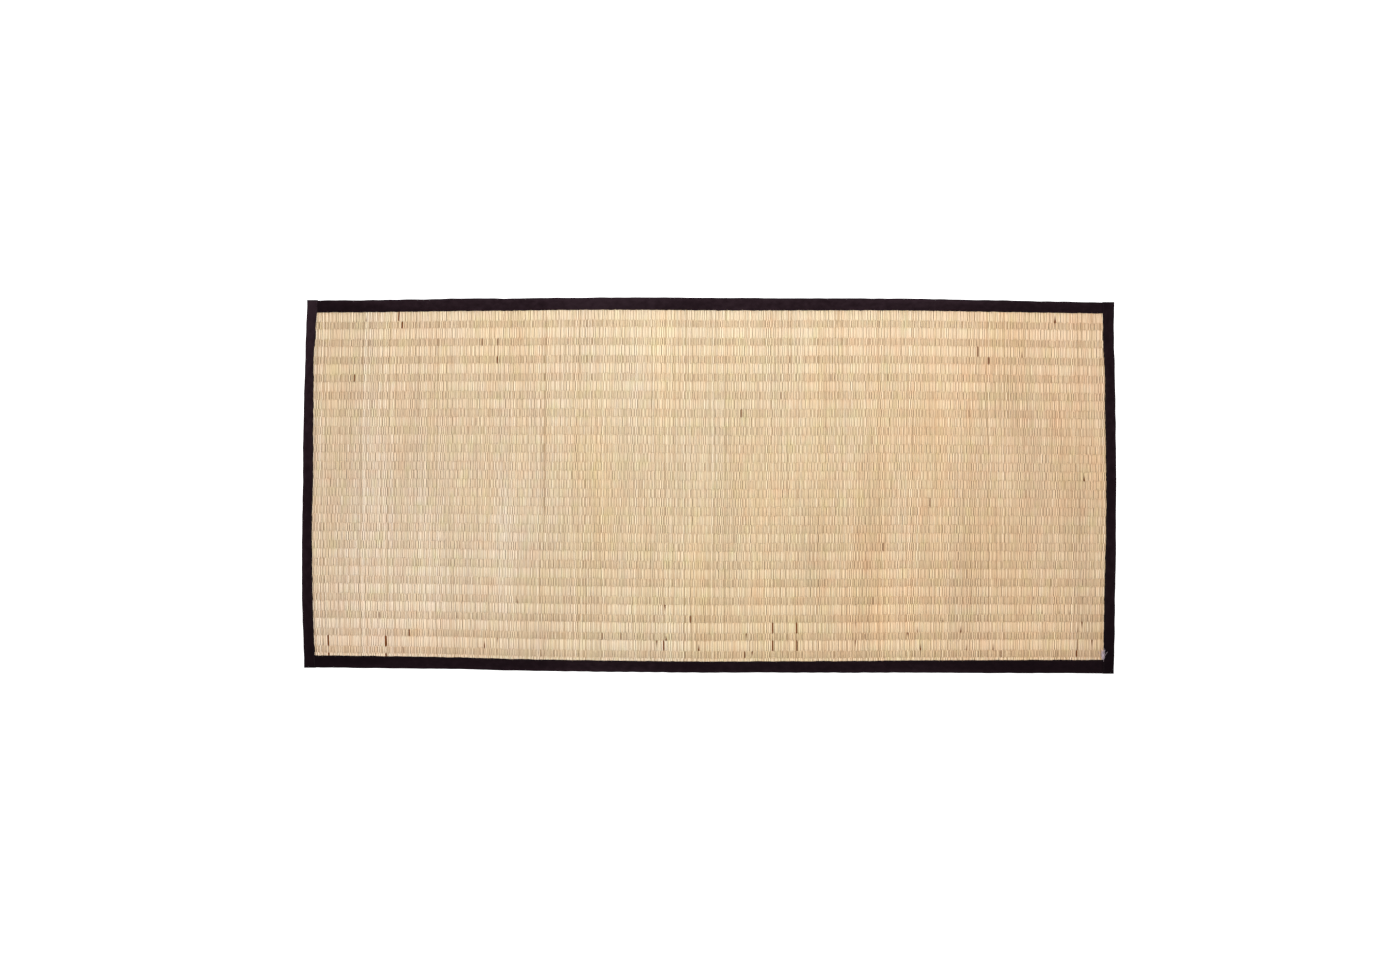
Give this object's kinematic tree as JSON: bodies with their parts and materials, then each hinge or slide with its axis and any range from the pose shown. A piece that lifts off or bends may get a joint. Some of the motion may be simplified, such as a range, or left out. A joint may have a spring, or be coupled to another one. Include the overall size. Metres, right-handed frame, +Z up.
{
  "type": "tatami mat",
  "caption": "Flat roll-out mat woven from rush stems across hidden cords, with folded black cotton binding sewn over every edge.",
  "frame": {"origin": "centre of the mat's outline, on the surface that it lies on", "axes": "+X along the mat, +Y across it in the direction of the stems, +Z up out of its woven face"},
  "size_m": [2.0001, 0.9243, 0.0052],
  "materials": {
    "rush": "dry straw-coloured rush with a faint sheen",
    "binding": "matt near-black cotton"
  },
  "bodies": {
    "root": {"woven_panel": "rush", "long_binding_near": "binding", "long_binding_far": "binding", "end_binding_left": "binding", "end_binding_right": "binding"}
  },
  "joints": []
}
